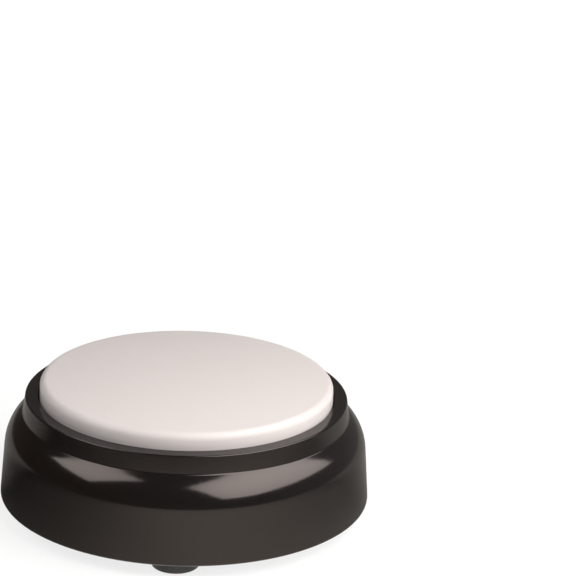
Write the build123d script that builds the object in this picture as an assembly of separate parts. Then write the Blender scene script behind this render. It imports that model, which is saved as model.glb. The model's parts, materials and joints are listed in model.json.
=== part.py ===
from build123d import *
from math import cos, pi, radians, sin, sqrt, tan
import os

# Talking clock with one large push button.  Millimetres, +Z up.
# Origin: on the table, in the middle of the circle of feet.  -Y is the front, +X the right.

# ---- push button ----
BUTTON_RADIUS = 38.26
BUTTON_EDGE = 1.75  # rounding where the crown meets the side
BUTTON_CROWN = 0.65  # how far the middle stands over the edge
BUTTON_RISE = 4.15  # how far the edge stands over the collar
BUTTON_TRAVEL = 1.8
BUTTON_SKIN = 2.2
SKIRT_WALL = 2.0
SKIRT_STOP_GAP = 0.15  # left between skirt and deck when pressed
LEG_COUNT = 3
LEG_RADIUS = 2.5
LEG_GAP = 0.3  # leg to its guide
LEG_START = 90.0  # bearing of the first leg, in degrees
PLUNGER_RADIUS = 3.0
BUTTON_RIB = 1.2
BUTTON_RIB_DEPTH = 2.8

# ---- housing, from the collar outwards and from the rim upwards ----
BUTTON_GAP = 0.44  # open ring between button and collar
COLLAR_LAND = 3.3
COLLAR_HEIGHT = 4.75
COLLAR_FLARE = 0.7
COLLAR_EDGE = 0.4
CREASE_FILLET = 0.5
SHOULDER_RADIUS = 12.0
SHOULDER_TURN = 52.6  # degrees of the shoulder's arc above level
SIDE_HEIGHT = 13.55
SIDE_DRAFT = 4.45  # degrees
RIM_EDGE = 0.35
WALL = 2.2
RIM_WALL = 1.7
STAND = 3.6  # the rim's height over the table
WELL_WALL = 1.8
DECK = 1.8
DECK_HOLE_RADIUS = 9.0
GUIDE_WALL = 0.9
GUIDE_RISE = 2.0
POST_RADIUS = 3.0
POST_INSET = 4.2  # screw post's axis, inwards from the wall's foot
POST_TOP_DROP = 3.2  # top of the post below the crease
GUSSET = 1.2

# ---- base cover ----
COVER = 2.2
COVER_INSET = 0.6  # cover's outer face above the rim
COVER_GAP = 0.2
COVER_BOSS_RISE = 2.0
COVER_BOSS_WALL = 0.9
FOOT_RADIUS = 6.1
FOOT_EDGE = 0.6
FOOT_RECESS = 0.8
FOOT_INSET = 7.1  # foot's axis, inwards from the cover's edge
FOOT_COUNT = 4
FOOT_NAMES = ["front_foot", "right_foot", "rear_foot", "left_foot"]
FOOT_START = -90.0

# ---- screws: radius of shank and head, height of head, length of shank ----
CASE_SCREW = (1.3, 2.5, 1.8, 9.5)
LEG_SCREW = (1.1, 2.1, 1.4, 7.0)
BOARD_SCREW = (1.0, 2.0, 1.2, 6.0)
CLAMP_SCREW = (0.9, 1.8, 1.1, 3.5)
SCREW_SLOT = 0.6
SCREW_SLOT_SPAN = 1.3  # times the head's radius
HEAD_ROUNDING = 0.4  # times the head's height
SCREW_FIT = 0.02
HEAD_GAP = 0.3
WASHER = 0.8
WASHER_RADIUS = 4.2

# ---- cells, their bay and its door ----
CELL_RADIUS = 5.25
CELL_LENGTH = 44.5
NUB_RADIUS = 1.9
NUB_LENGTH = 0.8
CELL_GAP = 0.3
BAY_WALL = 1.2
BAY_LEG_GAP = 0.5  # bay to the washer of the rear leg
BAY_PAD_RISE = 1.0
BAY_PAD_RIM = 2.6
CONTACT = 0.4
CONTACT_SIZE = 8.6
CONTACT_BUMP = 0.7
CONTACT_SPRING = 4.0
CONTACT_SPRING_RADIUS = 2.9
CONTACT_WIRE = 0.5
CONTACT_TURNS = 3
CONTACT_TAPER = 0.75  # radius of the spring's free end, of its foot's
BUMP_SPREAD = 1.6  # radius of the bump's foot, of its top's
TAB_WIDTH = 2.4
TAB_SLOT_GAP = 0.2
TAB_RISE = 0.6  # soldered end above the board
DOOR = 1.4
DOOR_END_LAP = 3.0  # door beyond the bay's opening, at each end
DOOR_SIDE_LAP = 2.0  # and along each side
DOOR_GAP = 0.25
DOOR_CORNER = 2.0
DOOR_TAB = (1.5, 5.0, 0.65)  # reach, width, thickness
DOOR_TAB_SPREAD = 14.0
LATCH_WIDTH = 9.0
LATCH_WALL = 0.8
LATCH_HEIGHT = 4.2
LATCH_NUB = 0.5
LATCH_GAP = 0.3
NOTCH_RADIUS = 5.0

# ---- speaker ----
SPEAKER_RADIUS = 16.0
SPEAKER_FLANGE = 1.8
SPEAKER_PLATE = 0.8
SPEAKER_BASKET = 3.7
WINDOW_COUNT = 6
WINDOW_WIDTH = 4.8
WINDOW_MARGIN = 0.7  # metal above and below a window
SPEAKER_SIDE_GAP = 0.2
SPEAKER_RING_WALL = 1.2
SPEAKER_RING_GAP = 0.15  # ring's top under the clamp
GASKET = 0.5
MAGNET_RADIUS = 9.0
MAGNET_HOLE = 4.8
MAGNET_HEIGHT = 2.6
YOKE = 1.0
POLE_RADIUS = 3.3
COIL_RADIUS = 4.0
COIL_WALL = 0.3
PAPER = 0.25
CONE_DEPTH = 2.6
CONE_ROLL = 2.4  # width of the cone's rolled edge
DUST_CAP_RISE = 1.2
CLAMP = 1.0
CLAMP_EAR_BEARINGS = [15.0, 165.0, 270.0]
CLAMP_LAP = 1.0  # clamp over the speaker's flange
CLAMP_EAR_REACH = 3.6  # ear's screw beyond the speaker's edge
CLAMP_POST_RADIUS = 2.0
STRIP = (2.6, 8.0, 0.8)
STRIP_GAP = 0.8
LEAD_RADIUS = 0.45
LEAD_STUB = 2.0  # straight end of a lead
LEAD_SPAN = 6.0
LEAD_CLIMB = 1.0
GRILLE_HOLE = 1.1
GRILLE_PITCH = 4.2
GRILLE_RINGS = 3

# ---- circuit board and what it carries ----
BOARD = 1.6
BOARD_EDGE_GAP = 1.1  # board to the housing's screw posts
BOARD_GAP = 0.5  # over the bay's roof
BOARD_TOP_ROOM = 1.6  # under the deck
BOARD_HOLE_MARGIN = 1.0
BOARD_POST_INSET = 3.8
BOARD_POST_GAP = 1.0  # to the door's latch and to the speaker's ring
BOARD_POST_RADIUS = 2.8
FRONT_POST_BEARINGS = [-35.0, 215.0]  # from the speaker's axis
DOME_RADIUS = 7.0
DOME_PRESSED = 1.6  # height left under the pressed button
DOME_TOP_RADIUS = 3.4
DOME_WALL = 0.7
DOME_LIP = 0.6
CHIP_PLACE = (-16.0, 14.0)
CHIP_RADIUS = 6.0
CHIP_RISE = 1.1
CRYSTAL_X = 7.0
CRYSTAL_RADIUS = 1.5
CRYSTAL_LENGTH = 8.0
CRYSTAL_BAY_GAP = 2.0
CAPACITOR_X = -15.0
CAPACITOR_RADIUS = 2.5
CAPACITOR_LENGTH = 8.0
CAPACITOR_BAY_GAP = 0.8
CAN_ROUNDING = 0.3
CAN_WIRE = 0.25
CAN_WIRE_REACH = 1.2
RESISTOR = (2.0, 1.25, 0.5)
RESISTOR_X = 14.0
RESISTOR_PITCH = 3.2
RESISTOR_COUNT = 6
TRANSISTOR = (2.9, 1.3, 1.0)
TRANSISTOR_TAB_GAP = 1.35  # to the contact's tab
TRANSISTOR_PITCH = 6.0
TRANSISTOR_COUNT = 2

# ---- return springs ----
SPRING_WIRE = 0.3
SPRING_CLEARANCE = 0.3  # spring to guide tube
SPRING_SKIRT_GAP = 1.16
SPRING_TURNS = 5

# ---- setting keys on the underside ----
KEY_PITCH = 9.5
KEY_FOOT_WALL = 1.0  # between an outer key's hole and the foot's recess
KEY_DOOR_WALL = 1.7  # between a key's hole and the door's recess
KEY_RADIUS = 2.5
KEY_PROUD = 0.4
KEY_TRAVEL = 0.8
KEY_FLANGE = 0.8
KEY_FLANGE_REACH = 0.8
KEY_STEM_RADIUS = 1.8
KEY_GAP = 0.3
KEY_TUBE_WALL = 0.8
KEY_TUBE_RISE = 6.0
KEY_DOME_RADIUS = 3.0
KEY_DOME_PRESSED = 2.2

REST_GAP = 0.05  # between a moving piece and what it rests on

DOME_HEIGHT = BUTTON_TRAVEL + DOME_PRESSED
KEY_DOME_HEIGHT = KEY_TRAVEL + KEY_DOME_PRESSED

# ---- heights above the table ----
RIM_Z = STAND
SIDE_TOP_Z = RIM_Z + SIDE_HEIGHT
SHOULDER_Z = SIDE_TOP_Z - SHOULDER_RADIUS * sin(radians(SIDE_DRAFT))
CREASE_Z = SHOULDER_Z + SHOULDER_RADIUS * sin(radians(SHOULDER_TURN))
COLLAR_Z = CREASE_Z + COLLAR_HEIGHT
EDGE_Z = COLLAR_Z + BUTTON_RISE
APEX_Z = EDGE_Z + BUTTON_CROWN
COVER_Z = RIM_Z + COVER_INSET
FLOOR_Z = COVER_Z + COVER
CELL_Z = COVER_Z + DOOR + CELL_GAP + CELL_RADIUS
ROOF_Z = CELL_Z + CELL_RADIUS + CELL_GAP
BAY_TOP_Z = ROOF_Z + BAY_WALL
BOARD_Z = BAY_TOP_Z + BOARD_GAP
BOARD_TOP_Z = BOARD_Z + BOARD
DECK_Z = BOARD_TOP_Z + BOARD_TOP_ROOM
DECK_TOP_Z = DECK_Z + DECK
CAP_Z = EDGE_Z - BUTTON_SKIN
SKIRT_Z = DECK_TOP_Z + BUTTON_TRAVEL + SKIRT_STOP_GAP
DOME_TOP_Z = BOARD_TOP_Z + DOME_HEIGHT
BOSS_Z = FLOOR_Z + COVER_BOSS_RISE
KEY_DOME_Z = BOARD_Z - KEY_DOME_HEIGHT
GASKET_Z = FLOOR_Z + GASKET
CONE_Z = GASKET_Z + PAPER
FLANGE_Z = CONE_Z + SPEAKER_PLATE
BACK_Z = FLANGE_Z + SPEAKER_BASKET
MAGNET_Z = BACK_Z + SPEAKER_PLATE
YOKE_Z = MAGNET_Z + MAGNET_HEIGHT

# ---- radii about the clock's axis ----
WELL_RADIUS = BUTTON_RADIUS + BUTTON_GAP
COLLAR_RADIUS = WELL_RADIUS + COLLAR_LAND
CREASE_RADIUS = COLLAR_RADIUS + COLLAR_FLARE
SHOULDER_AXIS = CREASE_RADIUS - SHOULDER_RADIUS * cos(radians(SHOULDER_TURN))
SIDE_TOP_RADIUS = SHOULDER_AXIS + SHOULDER_RADIUS * cos(radians(SIDE_DRAFT))
RIM_RADIUS = SIDE_TOP_RADIUS + SIDE_HEIGHT * tan(radians(SIDE_DRAFT))
RECESS_RADIUS = RIM_RADIUS - RIM_WALL
COVER_RADIUS = RECESS_RADIUS - COVER_GAP
POST_CIRCLE = RIM_RADIUS - WALL - POST_INSET
FOOT_CIRCLE = COVER_RADIUS - FOOT_INSET
BOARD_RADIUS = POST_CIRCLE - POST_RADIUS - BOARD_EDGE_GAP
CAP_INNER = BUTTON_RADIUS - SKIRT_WALL
LEG_HOLE = LEG_RADIUS + LEG_GAP
GUIDE_RADIUS = LEG_HOLE + GUIDE_WALL
SPRING_RADIUS = GUIDE_RADIUS + SPRING_CLEARANCE + SPRING_WIRE
LEG_CIRCLE = CAP_INNER - SPRING_SKIRT_GAP - SPRING_WIRE - SPRING_RADIUS

# ---- plan of the underside ----
BAY_LENGTH = 2 * CONTACT + CONTACT_BUMP + CELL_LENGTH + CONTACT_SPRING
BAY_WIDTH = 4 * CELL_RADIUS + 3 * CELL_GAP
BAY_Y = LEG_CIRCLE - WASHER_RADIUS - BAY_LEG_GAP - BAY_WALL - BAY_WIDTH / 2
BAY_FRONT = BAY_Y - BAY_WIDTH / 2 - BAY_WALL
DOOR_LENGTH = BAY_LENGTH + 2 * DOOR_END_LAP
DOOR_WIDTH = BAY_WIDTH + 2 * DOOR_SIDE_LAP
HINGE_X = (DOOR - DOOR_LENGTH) / 2  # middle of the door's rounded left end
HINGE_Z = COVER_Z + DOOR / 2
CELL_Y = CELL_RADIUS + CELL_GAP / 2  # cell's axis from the bay's middle line
RING_RADIUS = SPEAKER_RADIUS + SPEAKER_SIDE_GAP
SPEAKER_Y = BAY_FRONT - CELL_GAP - RING_RADIUS - SPEAKER_RING_WALL
EAR_CIRCLE = SPEAKER_RADIUS + CLAMP_EAR_REACH
KEY_HOLE = KEY_RADIUS + KEY_GAP
KEY_Y = BAY_Y - BAY_WIDTH / 2 - DOOR_SIDE_LAP - DOOR_GAP - KEY_DOOR_WALL - KEY_HOLE
KEY_FOOT_REACH = FOOT_RADIUS + REST_GAP + KEY_FOOT_WALL + KEY_HOLE
KEY_X = FOOT_CIRCLE - sqrt(KEY_FOOT_REACH**2 - KEY_Y**2)
KEY_COLUMNS = [-KEY_X, KEY_PITCH - KEY_X, KEY_X - KEY_PITCH, KEY_X]
STRIP_X = -MAGNET_RADIUS - STRIP_GAP - STRIP[0] / 2
BOARD_POST_CIRCLE = BOARD_RADIUS - BOARD_POST_INSET
REAR_POST_Y = BAY_Y - LATCH_WIDTH / 2 - LATCH_GAP - BOARD_POST_GAP - BOARD_POST_RADIUS
POST_REACH = RING_RADIUS + SPEAKER_RING_WALL + BOARD_POST_GAP + BOARD_POST_RADIUS
CRYSTAL_PLACE = (CRYSTAL_X, BAY_FRONT - CRYSTAL_BAY_GAP - CRYSTAL_RADIUS)
CAPACITOR_PLACE = (CAPACITOR_X, BAY_FRONT - CAPACITOR_BAY_GAP - CAPACITOR_RADIUS)
TAB_X = BAY_LENGTH / 2 - CONTACT / 2
TRANSISTOR_X = TAB_X - TRANSISTOR_TAB_GAP - TRANSISTOR[0] / 2 - TRANSISTOR_PITCH * (TRANSISTOR_COUNT - 1)
RESISTOR_ROW = (RESISTOR_X, BAY_Y)
TRANSISTOR_ROW = (TRANSISTOR_X, BAY_Y + CELL_Y)


UPWARDS = (Align.CENTER, Align.CENTER, Align.MIN)


def disc(radius, low, high, x=0.0, y=0.0):
    return Pos(x, y, low) * Cylinder(radius, high - low, align=UPWARDS)


def ring(outer, inner, low, high, x=0.0, y=0.0):
    return disc(outer, low, high, x, y) - disc(inner, low, high, x, y)


def block(size_x, size_y, low, high, x=0.0, y=0.0):
    return Pos(x, y, low) * Box(size_x, size_y, high - low, align=UPWARDS)


def turned(*edges):
    """The solid of revolution of a closed outline of (radius, height) edges."""
    return revolve(make_face(Plane.XZ * Wire(list(edges))), Axis.Z)


def outline(points):
    """Straight edges through a list of (radius, height) points."""
    return [Line(start, end) for start, end in zip(points, points[1:])]


def crown_arc(radius, low, rise):
    """The arc of a shallow dome, from its edge to its top on the axis."""
    bend = (radius**2 + rise**2) / (2 * rise)
    return RadiusArc((radius, low), (0, low + rise), -bend)


def dome(radius, rise):
    """A shallow solid dome standing on z = 0."""
    return turned(crown_arc(radius, 0, rise), *outline([(0, rise), (0, 0), (radius, 0)]))


def polar(radius, bearing):
    return radius * cos(radians(bearing)), radius * sin(radians(bearing))


def off_speaker(radius, bearing):
    """The place in the plan at a distance and bearing from the speaker's axis."""
    x, y = polar(radius, bearing)
    return x, SPEAKER_Y + y


def mirrored_on_circle(radius, y):
    """The two places at height y of the plan, on a circle about the clock's axis."""
    x = sqrt(radius**2 - y**2)
    return [(x, y), (-x, y)]


def around(count, radius, start):
    return [polar(radius, start + 360.0 * index / count) for index in range(count)]


def level_edges(shape, height):
    return [edge for edge in shape.edges() if abs(edge.center().Z - height) < 0.001]


def group(solids):
    return Compound(children=list(solids))


LEG_PLACES = around(LEG_COUNT, LEG_CIRCLE, LEG_START)
POST_PLACES = around(4, POST_CIRCLE, 45.0)
FOOT_PLACES = around(FOOT_COUNT, FOOT_CIRCLE, FOOT_START)
EAR_PLACES = [polar(EAR_CIRCLE, bearing) for bearing in CLAMP_EAR_BEARINGS]
REAR_POSTS = mirrored_on_circle(BOARD_POST_CIRCLE, REAR_POST_Y)
FRONT_POSTS = [off_speaker(POST_REACH, bearing) for bearing in FRONT_POST_BEARINGS]
BOARD_POSTS = [*REAR_POSTS, *FRONT_POSTS]
KEY_PLACES = [(x, KEY_Y) for x in KEY_COLUMNS]


# ---- fasteners and springs ----
def screw(sizes, x, y, seat, upwards):
    """A pan-head screw whose head bears on the height seat."""
    shank, head, head_height, length = sizes
    body = disc(head, -head_height, 0.0)
    body = fillet(level_edges(body, -head_height), head_height * HEAD_ROUNDING)
    body += disc(shank - SCREW_FIT, 0.0, length)
    for turn in (0.0, 90.0):
        slot = block(head * SCREW_SLOT_SPAN, SCREW_SLOT, -head_height, -head_height / 2)
        body -= Rot(0, 0, turn) * slot
    if not upwards:
        body = Rot(180, 0, 0) * body
    return Pos(x, y, seat) * body


def coil(start_radius, end_radius, wire, length, turns):
    """A coil spring up the Z axis: two arcs for each half turn, which meet smoothly."""
    steps = 2 * turns

    def place(step):
        share = step / steps
        radius = start_radius + (end_radius - start_radius) * share
        angle = pi * step
        return Vector(radius * cos(angle), radius * sin(angle), length * share)

    def heading(step):
        radius = start_radius + (end_radius - start_radius) * step / steps
        swell = (end_radius - start_radius) / steps
        angle = pi * step
        across = Vector(cos(angle), sin(angle), 0.0) * swell
        along = Vector(-sin(angle), cos(angle), 0.0) * (pi * radius)
        return (across + along + Vector(0.0, 0.0, length / steps)).normalized()

    arcs = []
    for step in range(steps):
        first, last = place(step), place(step + 1)
        leave, arrive = heading(step), heading(step + 1)
        span = last - first
        total = leave + arrive
        square = 2.0 * (1.0 - leave.dot(arrive))
        reach = (sqrt(span.dot(total) ** 2 + square * span.dot(span)) - span.dot(total)) / square
        middle = (first + leave * reach + last - arrive * reach) * 0.5
        arcs.append(TangentArc(first, middle, tangent=leave))
        arcs.append(TangentArc(middle, last, tangent=arcs[-1] % 1))
    path = Wire(arcs)
    return sweep(Plane(origin=path @ 0, z_dir=path % 0) * Circle(wire), path=path)


def lead(points):
    """A round wire through the points, with arcs as wide as its runs allow."""
    points = [Vector(*point) for point in points]
    radii = []
    for before, corner, after in zip(points, points[1:], points[2:]):
        shorter = min((corner - before).length, (after - corner).length)
        turn = (corner - before).get_angle(after - corner)
        radii.append(0.45 * shorter / tan(radians(turn) / 2.0))
    print("lead arcs", [round(radius, 1) for radius in radii])
    path = FilletPolyline(*points, radius=radii)
    return sweep(Plane(origin=path @ 0, z_dir=path % 0) * Circle(LEAD_RADIUS), path=path)


# ---- housing ----
def shoulder_arc(radius, inner_end, outer_end):
    """The part of the shoulder's arc of this radius between two radii about the clock's axis."""
    heights = [SHOULDER_Z + sqrt(radius**2 - (end - SHOULDER_AXIS) ** 2) for end in (outer_end, inner_end)]
    return RadiusArc((outer_end, heights[0]), (inner_end, heights[1]), -radius)


def housing_outside():
    side = outline([(0, COLLAR_Z), (0, RIM_Z), (RIM_RADIUS, RIM_Z), (SIDE_TOP_RADIUS, SIDE_TOP_Z)])
    shoulder = shoulder_arc(SHOULDER_RADIUS, CREASE_RADIUS, SIDE_TOP_RADIUS)
    collar = outline([(CREASE_RADIUS, CREASE_Z), (COLLAR_RADIUS, COLLAR_Z), (0, COLLAR_Z)])
    body = turned(*side, shoulder, *collar)
    body = fillet(level_edges(body, CREASE_Z), CREASE_FILLET)
    body = fillet(level_edges(body, COLLAR_Z), COLLAR_EDGE)
    return fillet(level_edges(body, RIM_Z), RIM_EDGE)


def housing_cavity():
    """The room between the side wall and the well, open downwards, with the cover's recess."""
    inner = SHOULDER_RADIUS - WALL
    top_radius = SHOULDER_AXIS + inner * cos(radians(SIDE_DRAFT))
    top_z = SHOULDER_Z + inner * sin(radians(SIDE_DRAFT))
    ledge_radius = top_radius + (top_z - FLOOR_Z) * tan(radians(SIDE_DRAFT))
    well_outside = WELL_RADIUS + WELL_WALL
    arc = shoulder_arc(inner, well_outside, top_radius)
    lower = outline([(0, DECK_Z), (0, RIM_Z), (RECESS_RADIUS, RIM_Z), (RECESS_RADIUS, FLOOR_Z)])
    wall = outline([(RECESS_RADIUS, FLOOR_Z), (ledge_radius, FLOOR_Z), (top_radius, top_z)])
    well = outline([(well_outside, (arc @ 1).Y), (well_outside, DECK_Z), (0, DECK_Z)])
    return turned(*lower, *wall, arc, *well)


def top_housing():
    body = housing_outside() - housing_cavity()
    post_top = CREASE_Z - POST_TOP_DROP
    gusset_reach = RIM_RADIUS - WALL - POST_CIRCLE
    for bearing, (x, y) in zip((45.0, 135.0, 225.0, 315.0), POST_PLACES):
        body += disc(POST_RADIUS, BOSS_Z, post_top, x, y)
        gusset = block(gusset_reach, GUSSET, BOSS_Z, SIDE_TOP_Z, POST_CIRCLE + gusset_reach / 2)
        body += Rot(0, 0, bearing) * gusset
        body -= disc(CASE_SCREW[0], BOSS_Z, BOSS_Z + CASE_SCREW[3], x, y)
    body -= disc(WELL_RADIUS, DECK_TOP_Z, APEX_Z)
    body -= disc(DECK_HOLE_RADIUS, DECK_Z, DECK_TOP_Z)
    for x, y in LEG_PLACES:
        body += disc(GUIDE_RADIUS, DECK_TOP_Z, DECK_TOP_Z + GUIDE_RISE, x, y)
        body -= disc(LEG_HOLE, DECK_Z, DECK_TOP_Z + GUIDE_RISE, x, y)
    return body


# ---- push button ----
def button_cap():
    crown = crown_arc(BUTTON_RADIUS, EDGE_Z, BUTTON_CROWN)
    side = outline([(0, APEX_Z), (0, SKIRT_Z), (BUTTON_RADIUS, SKIRT_Z), (BUTTON_RADIUS, EDGE_Z)])
    body = turned(*side, crown)
    body = fillet(level_edges(body, EDGE_Z), BUTTON_EDGE)
    body -= disc(CAP_INNER, SKIRT_Z, CAP_Z)
    plunger_end = DOME_TOP_Z + REST_GAP
    body += disc(PLUNGER_RADIUS, plunger_end, CAP_Z)
    rib_reach = LEG_CIRCLE - SPRING_RADIUS - SPRING_WIRE - LEG_GAP
    for index, (x, y) in enumerate(LEG_PLACES):
        body += disc(LEG_RADIUS, DECK_Z - 2 * REST_GAP, CAP_Z, x, y)
        body -= disc(LEG_SCREW[0], DECK_Z - 2 * REST_GAP, DECK_Z + LEG_SCREW[3], x, y)
        rib = block(rib_reach, BUTTON_RIB, CAP_Z - BUTTON_RIB_DEPTH, CAP_Z, rib_reach / 2)
        body += Rot(0, 0, LEG_START + 360.0 * index / LEG_COUNT) * rib
    return body


def button_washers():
    top = DECK_Z - 2 * REST_GAP
    return group(ring(WASHER_RADIUS, LEG_SCREW[0], top - WASHER, top, x, y) for x, y in LEG_PLACES)


def button_screws():
    seat = DECK_Z - 2 * REST_GAP - WASHER
    return group(screw(LEG_SCREW, x, y, seat, True) for x, y in LEG_PLACES)


def return_spring(x, y):
    low = DECK_TOP_Z + SPRING_WIRE + REST_GAP
    high = CAP_Z - SPRING_WIRE - REST_GAP
    return Pos(x, y, low) * coil(SPRING_RADIUS, SPRING_RADIUS, SPRING_WIRE, high - low, SPRING_TURNS)


def rubber_dome(radius, top_radius, height):
    """A hollow contact dome standing on z = 0."""
    outside = [(0, height), (top_radius, height), (radius - DOME_LIP, DOME_LIP), (radius, DOME_LIP)]
    inner_radius = radius - DOME_LIP - DOME_WALL
    inner_top = top_radius - DOME_WALL
    inside = [(inner_radius, 0), (inner_top, height - 2 * DOME_WALL), (0, height - 2 * DOME_WALL)]
    return turned(*outline([*outside, (radius, 0), *inside, (0, height)]))


# ---- base cover ----
def door_plate(size_x, size_y, low, high):
    """A plate over the bay with its two right corners rounded."""
    plate = block(size_x, size_y, low, high, 0, BAY_Y)
    corners = [edge for edge in plate.edges().filter_by(Axis.Z) if edge.center().X > 0]
    return fillet(corners, DOOR_CORNER)


def door_tab_places():
    return [BAY_Y - DOOR_TAB_SPREAD / 2, BAY_Y + DOOR_TAB_SPREAD / 2]


def battery_bay(body):
    """Adds the box that holds the cells, its door recess and the slots of tabs and contacts."""
    recess_x = DOOR_LENGTH + 2 * DOOR_GAP
    recess_y = DOOR_WIDTH + 2 * DOOR_GAP
    recess_top = COVER_Z + DOOR + REST_GAP
    pad_x = recess_x + 2 * BAY_PAD_RIM
    pad_top = FLOOR_Z + BAY_PAD_RISE
    wall = 2 * BAY_WALL
    body += door_plate(pad_x, recess_y, COVER_Z, pad_top)
    body += block(BAY_LENGTH + wall, BAY_WIDTH + wall, COVER_Z, BAY_TOP_Z, 0, BAY_Y)
    body -= block(BAY_LENGTH, BAY_WIDTH, COVER_Z, ROOF_Z, 0, BAY_Y)
    body -= door_plate(recess_x, recess_y, COVER_Z, recess_top)
    reach, width, thickness = DOOR_TAB
    slot_low = COVER_Z + DOOR - thickness - REST_GAP
    slot_left = -recess_x / 2 - reach
    slot_right = HINGE_X + DOOR / 2
    slot_x = (slot_left + slot_right) / 2
    for y in door_tab_places():
        body -= block(slot_right - slot_left, width + 2 * DOOR_GAP, slot_low, pad_top, slot_x, y)
    slot_start = BAY_LENGTH / 2 + BAY_WALL
    slot_reach = recess_x / 2 - slot_start
    slot_width = LATCH_WIDTH + 2 * LATCH_GAP
    body -= block(slot_reach, slot_width, recess_top, pad_top, slot_start + slot_reach / 2, BAY_Y)
    for x, y in contact_tab_places():
        body -= block(CONTACT + TAB_SLOT_GAP, TAB_WIDTH + TAB_SLOT_GAP, ROOF_Z, BAY_TOP_Z, x, y)
    return body


def speaker_seat(body):
    """Adds the speaker's ring, the clamp's posts and the grille."""
    ring_top = FLANGE_Z - SPEAKER_RING_GAP
    body += ring(RING_RADIUS + SPEAKER_RING_WALL, RING_RADIUS, FLOOR_Z, ring_top, 0, SPEAKER_Y)
    for x, y in EAR_PLACES:
        body += disc(CLAMP_POST_RADIUS, FLOOR_Z, FLANGE_Z, x, SPEAKER_Y + y)
        body -= disc(CLAMP_SCREW[0], COVER_Z + COVER / 2, FLANGE_Z, x, SPEAKER_Y + y)
    body -= disc(GRILLE_HOLE, COVER_Z, FLOOR_Z, 0, SPEAKER_Y)
    for circle in range(1, GRILLE_RINGS + 1):
        for x, y in around(6 * circle, GRILLE_PITCH * circle, 0.0):
            body -= disc(GRILLE_HOLE, COVER_Z, FLOOR_Z, x, SPEAKER_Y + y)
    return body


def key_guides(body):
    inner = KEY_RADIUS + KEY_FLANGE_REACH + KEY_GAP
    for x, y in KEY_PLACES:
        body += ring(inner + KEY_TUBE_WALL, inner, FLOOR_Z, FLOOR_Z + KEY_TUBE_RISE, x, y)
        body -= disc(KEY_HOLE, COVER_Z, FLOOR_Z, x, y)
    return body


def base_cover():
    body = disc(COVER_RADIUS, COVER_Z, FLOOR_Z)
    head_room = CASE_SCREW[1] + HEAD_GAP
    for x, y in POST_PLACES:
        body += disc(head_room + COVER_BOSS_WALL, COVER_Z, BOSS_Z, x, y)
    body = battery_bay(body)
    body = speaker_seat(body)
    body = key_guides(body)
    for x, y in POST_PLACES:
        body -= disc(head_room, COVER_Z, FLOOR_Z, x, y)
        body -= disc(CASE_SCREW[0] + SCREW_FIT, FLOOR_Z, BOSS_Z, x, y)
    for x, y in BOARD_POSTS:
        body += disc(BOARD_POST_RADIUS, FLOOR_Z, BOARD_Z, x, y)
        body -= disc(BOARD_SCREW[0], BOARD_Z + BOARD - BOARD_SCREW[3], BOARD_Z, x, y)
    for x, y in FOOT_PLACES:
        body -= disc(FOOT_RADIUS + REST_GAP, COVER_Z, COVER_Z + FOOT_RECESS, x, y)
    return body


def foot(x, y):
    body = disc(FOOT_RADIUS, 0.0, COVER_Z + FOOT_RECESS, x, y)
    return fillet(level_edges(body, 0.0), FOOT_EDGE)


def case_screws():
    return group(screw(CASE_SCREW, x, y, FLOOR_Z, True) for x, y in POST_PLACES)


def battery_door():
    """Lies in the recess of the base cover, hooked in at its rounded left end, latched at its right."""
    inner_z = COVER_Z + DOOR
    body = door_plate(DOOR_LENGTH, DOOR_WIDTH, COVER_Z, inner_z)
    body -= block(DOOR, DOOR_WIDTH, COVER_Z, inner_z, HINGE_X - DOOR / 2, BAY_Y)
    body += Pos(HINGE_X, BAY_Y, HINGE_Z) * Rot(90, 0, 0) * Cylinder(DOOR / 2, DOOR_WIDTH)
    reach, width, thickness = DOOR_TAB
    tab_left = -DOOR_LENGTH / 2 - reach
    tab_right = HINGE_X + thickness
    for y in door_tab_places():
        tab_x = (tab_left + tab_right) / 2
        body += block(tab_right - tab_left, width, inner_z - thickness, inner_z, tab_x, y)
    latch_x = BAY_LENGTH / 2 + BAY_WALL + LATCH_GAP + LATCH_WALL / 2
    latch_top = inner_z + LATCH_HEIGHT
    body += block(LATCH_WALL, LATCH_WIDTH, inner_z, latch_top, latch_x, BAY_Y)
    nub_x = latch_x + (LATCH_WALL + LATCH_NUB) / 2
    body += block(LATCH_NUB, LATCH_WIDTH, latch_top - 2 * LATCH_NUB, latch_top, nub_x, BAY_Y)
    body -= disc(NOTCH_RADIUS, COVER_Z, COVER_Z + DOOR / 2, DOOR_LENGTH / 2, BAY_Y)
    return body


# ---- cells and contacts ----
def cell(side):
    """A cell on one side of the bay's middle line; its nub points to the positive contact."""
    y = BAY_Y + side * CELL_Y
    nub_end = BAY_LENGTH / 2 - CONTACT - CONTACT_BUMP
    can = Pos(nub_end - NUB_LENGTH, 0, 0) * Rot(0, -90, 0) * disc(CELL_RADIUS, 0, CELL_LENGTH - NUB_LENGTH)
    can = fillet(can.edges(), NUB_LENGTH / 2)
    nub = Pos(nub_end, 0, 0) * Rot(0, -90, 0) * disc(NUB_RADIUS, 0, NUB_LENGTH)
    return Pos(0, y, CELL_Z) * Rot(0, 0, 0 if side > 0 else 180) * (can + nub)


def contact_plate(side, end, width=CONTACT_SIZE):
    y = BAY_Y + side * CELL_Y
    return block(CONTACT, width, CELL_Z - CONTACT_SIZE / 2, CELL_Z + CONTACT_SIZE / 2, end * TAB_X, y)


def contact_bump(side, end):
    start = end * (BAY_LENGTH / 2 - CONTACT)
    bump = Cone(NUB_RADIUS * BUMP_SPREAD, NUB_RADIUS, CONTACT_BUMP, align=UPWARDS)
    return Pos(start, BAY_Y + side * CELL_Y, CELL_Z) * Rot(0, -90 * end, 0) * bump


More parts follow.
